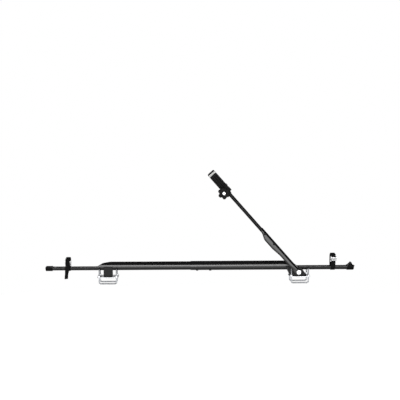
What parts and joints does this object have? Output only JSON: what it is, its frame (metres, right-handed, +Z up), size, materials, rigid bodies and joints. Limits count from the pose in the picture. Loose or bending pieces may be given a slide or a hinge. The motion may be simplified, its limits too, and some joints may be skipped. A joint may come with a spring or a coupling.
{
  "type": "roof mounted bike carrier",
  "caption": "Roof rail for carrying an upright bicycle: tube pressed into wheel gutters, strap at each wheel, folding arm with a screw-tightened frame clamp, U-bolt crossbar clamps.",
  "frame": {"origin": "middle of the underside of the front rubber pad, where it rests on the front crossbar", "axes": "+X along the rail towards its front end, +Y across the rail away from the arm, +Z up"},
  "size_m": [1.412, 0.1355, 0.5153],
  "materials": {
    "black_steel": "satin",
    "black_plastic": "matte",
    "zinc_steel": "satin",
    "black_rubber": "matte",
    "grey_rubber": "matte",
    "webbing": "matte"
  },
  "bodies": {
    "base": {"rear_rail": "black_steel", "front_rail": "black_steel", "rear_saddle": "black_steel", "front_bracket": "black_steel", "rail_joint_screws": "black_steel", "rear_end_cap": "black_plastic", "front_end_cap": "black_plastic", "rear_saddle_screws": "zinc_steel", "front_bracket_screws": "zinc_steel", "rear_clamp_plate": "zinc_steel", "front_clamp_plate": "zinc_steel", "rear_plate_rivets": "zinc_steel", "front_plate_rivets": "zinc_steel", "rear_u_bolts": "zinc_steel", "front_u_bolts": "zinc_steel", "rear_u_bolt_nuts": "zinc_steel", "front_u_bolt_nuts": "zinc_steel", "pivot_spacer": "zinc_steel", "pivot_bolt": "zinc_steel", "rear_bar_pad": "black_rubber", "front_bar_pad": "black_rubber"},
    "arm": {"lower_arm": "black_steel", "pivot_sleeve": "zinc_steel", "upper_arm": "black_steel", "arm_rivets": "black_steel", "near_jaw": "black_plastic", "near_jaw_pad": "grey_rubber", "jaw_pin": "zinc_steel"},
    "knob": {"clamp_knob": "black_plastic", "knob_insert": "zinc_steel"},
    "far_jaw": {"far_jaw": "black_plastic", "far_jaw_pad": "grey_rubber", "clamp_bolt": "zinc_steel", "guide_pin": "zinc_steel"},
    "rear_strap": {"rear_strap": "webbing", "rear_buckle": "zinc_steel", "rear_buckle_pin": "zinc_steel"},
    "rear_lever": {"rear_buckle_lever": "zinc_steel"},
    "front_strap": {"front_strap": "webbing", "front_buckle": "zinc_steel", "front_buckle_pin": "zinc_steel"},
    "front_lever": {"front_buckle_lever": "zinc_steel"}
  },
  "joints": [
    {"name": "arm_pivot", "type": "hinge", "parent": "base", "child": "arm", "pos_m": [-0.008, -0.045, 0.027], "axis": [0, 1, 0], "range_deg": [-37, 45]},
    {"name": "knob_turn", "type": "hinge", "parent": "arm", "child": "knob", "pos_m": [-0.35072, -0.072, 0.38872], "axis": [0, 1, 0], "range_deg": [-1680, 1200]},
    {"name": "jaw_slide", "type": "slide", "parent": "arm", "child": "far_jaw", "axis": [0, -1, 0], "range_m": [-0.014, 0.01]},
    {"name": "rear_strap_slide", "type": "slide", "parent": "base", "child": "rear_strap", "axis": [1, 0, 0], "range_m": [-0.05, 0.1]},
    {"name": "front_strap_slide", "type": "slide", "parent": "base", "child": "front_strap", "axis": [1, 0, 0], "range_m": [-0.075, 0.03]},
    {"name": "rear_lever_press", "type": "hinge", "parent": "rear_strap", "child": "rear_lever", "pos_m": [-1.054, -0.0313, 0.076], "axis": [1, 0, 0], "range_deg": [0, 15], "stiffness_Nm_per_rad": 0.1, "springref_deg": -5.73},
    {"name": "front_lever_press", "type": "hinge", "parent": "front_strap", "child": "front_lever", "pos_m": [0.154, -0.0329, 0.09], "axis": [1, 0, 0], "range_deg": [0, 15], "stiffness_Nm_per_rad": 0.1, "springref_deg": -5.73}
  ],
  "couplings": [
    {"joint": "knob_turn", "follows": "jaw_slide", "rad_per_m": 2094.4}
  ]
}
